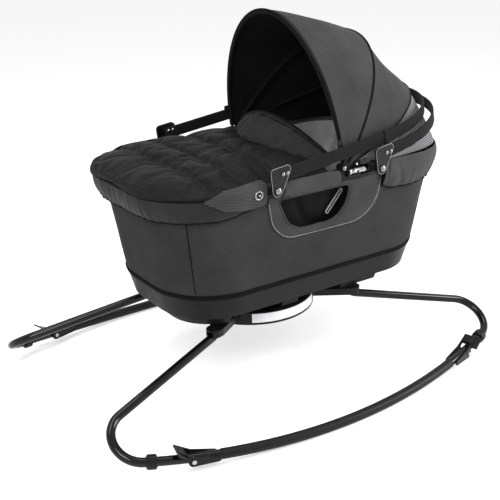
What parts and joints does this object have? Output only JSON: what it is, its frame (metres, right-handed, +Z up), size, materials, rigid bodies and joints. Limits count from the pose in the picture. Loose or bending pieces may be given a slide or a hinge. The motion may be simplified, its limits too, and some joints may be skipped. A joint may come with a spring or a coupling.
{
  "type": "travel bassinet on rocking base",
  "caption": "Oval soft-sided travel bassinet with folding hood, foot cover and carry handles, docked on a turntable hub over a tubular rocking base.",
  "frame": {"origin": "on the floor under the turning axis of the base", "axes": "+X to the head end, +Z up, -Y the side with the row's near pieces"},
  "size_m": [1.014, 0.7838, 0.8085],
  "materials": {
    "black_tube": "gloss powder coat",
    "sleeve": "soft sleeve",
    "black_plastic": "fine matt grain",
    "bright_metal": "polished",
    "black_plate": "satin black",
    "pale_band": "bare pale band",
    "shell_fabric": "close rib weave",
    "grey_rib_fabric": "grey rib weave",
    "webbing": "woven webbing",
    "lining": "quilted lining",
    "mattress": "padded cover"
  },
  "bodies": {
    "rocker_base": {"rail_tube_near": "black_tube", "rail_tube_far": "black_tube", "rail_sleeve_near": "sleeve", "rail_sleeve_far": "sleeve", "arm_tube_head_near": "black_tube", "arm_tube_head_far": "black_tube", "arm_tube_foot_near": "black_tube", "arm_tube_foot_far": "black_tube", "rail_collars": "black_plastic", "hub_drum": "black_plastic", "hub_cover": "black_plastic", "hub_screws": "bright_metal", "label_band": "pale_band", "hub_arms": "black_plastic", "foot_pins": "bright_metal"},
    "flip_foot_head_near": {"flip_foot_head_near": "black_plastic"},
    "flip_foot_head_far": {"flip_foot_head_far": "black_plastic"},
    "flip_foot_foot_near": {"flip_foot_foot_near": "black_plastic"},
    "flip_foot_foot_far": {"flip_foot_foot_far": "black_plastic"},
    "turntable": {"turntable": "black_plastic"},
    "release_lever_near": {"release_lever_near": "black_plastic"},
    "release_lever_far": {"release_lever_far": "black_plastic"},
    "front_bail": {"front_bail_band": "webbing", "front_bail_plates": "black_plate", "front_bail_rivets": "bright_metal", "front_bail_keepers": "webbing"},
    "rear_bail": {"rear_bail_band": "webbing", "rear_bail_plates": "black_plate", "rear_bail_rivets": "bright_metal"},
    "canopy_front": {"canopy_front_bow": "black_plastic", "canopy_front_panel": "shell_fabric", "bow_plates": "bright_metal"},
    "canopy_middle": {"canopy_mid_bow": "black_plastic", "canopy_mid_panel": "shell_fabric"},
    "tub": {"bail_lugs": "black_plate", "bail_pivot_pins": "bright_metal", "bed_board": "black_plastic", "canopy_pins": "bright_metal", "canopy_rear_hoop": "black_plastic", "canopy_rear_panel": "grey_rib_fabric", "dock_ring": "black_plastic", "fabric_wall": "shell_fabric", "foot_cover_collar": "shell_fabric", "foot_cover_skirt": "shell_fabric", "foot_cover_top": "shell_fabric", "grab_bar_far": "shell_fabric", "grab_bar_near": "shell_fabric", "hand_panels": "shell_fabric", "head_cover": "grey_rib_fabric", "hinge_plate_far": "black_plastic", "hinge_plate_near": "black_plastic", "liner": "lining", "mattress": "mattress", "pocket_loops": "bright_metal", "rim_tube": "black_plate", "side_tabs": "shell_fabric", "snap_rings": "bright_metal", "tray": "black_plastic", "tray_binding": "webbing"}
  },
  "joints": [
    {"name": "tub_turn", "type": "hinge", "parent": "rocker_base", "child": "turntable", "pos_m": [0, 0, 0.18], "axis": [0, 0, 1], "continuous": true},
    {"name": "tub_lift_off", "type": "slide", "parent": "turntable", "child": "tub", "axis": [0, 0, 1], "range_m": [0, 0.15]},
    {"name": "release_lever_near_pull", "type": "slide", "parent": "tub", "child": "release_lever_near", "axis": [0, -1, 0], "range_m": [0, 0.008], "stiffness_N_per_m": 400},
    {"name": "release_lever_far_pull", "type": "slide", "parent": "tub", "child": "release_lever_far", "axis": [0, 1, 0], "range_m": [0, 0.008], "stiffness_N_per_m": 400},
    {"name": "flip_foot_head_near_turn", "type": "hinge", "parent": "rocker_base", "child": "flip_foot_head_near", "pos_m": [0.37, -0.33393, 0.03068], "axis": [0.251, -0.968, 0], "range_deg": [0, 23.5]},
    {"name": "flip_foot_head_far_turn", "type": "hinge", "parent": "rocker_base", "child": "flip_foot_head_far", "pos_m": [0.37, 0.33393, 0.03068], "axis": [-0.251, -0.968, 0], "range_deg": [0, 23.5]},
    {"name": "flip_foot_foot_near_turn", "type": "hinge", "parent": "rocker_base", "child": "flip_foot_foot_near", "pos_m": [-0.37, -0.33393, 0.03068], "axis": [0.251, 0.968, 0], "range_deg": [0, 23.5]},
    {"name": "flip_foot_foot_far_turn", "type": "hinge", "parent": "rocker_base", "child": "flip_foot_foot_far", "pos_m": [-0.37, 0.33393, 0.03068], "axis": [-0.251, 0.968, 0], "range_deg": [0, 23.5]},
    {"name": "front_bail_turn", "type": "hinge", "parent": "tub", "child": "front_bail", "pos_m": [-0.087, 0, 0.487], "axis": [0, -1, 0], "range_deg": [0, 95]},
    {"name": "rear_bail_turn", "type": "hinge", "parent": "tub", "child": "rear_bail", "pos_m": [0.184, 0, 0.487], "axis": [0, -1, 0], "range_deg": [0, 50]},
    {"name": "canopy_front_fold", "type": "hinge", "parent": "tub", "child": "canopy_front", "pos_m": [0.098, 0, 0.497], "axis": [0, 1, 0], "range_deg": [0, 72], "deforming": ["canopy_front_panel"]},
    {"name": "canopy_middle_fold", "type": "hinge", "parent": "tub", "child": "canopy_middle", "pos_m": [0.098, 0, 0.497], "axis": [0, 1, 0], "range_deg": [0, 31], "deforming": ["canopy_mid_panel"]}
  ],
  "couplings": [
    {"joint": "canopy_middle_fold", "follows": "canopy_front_fold", "ratio": 0.43}
  ]
}
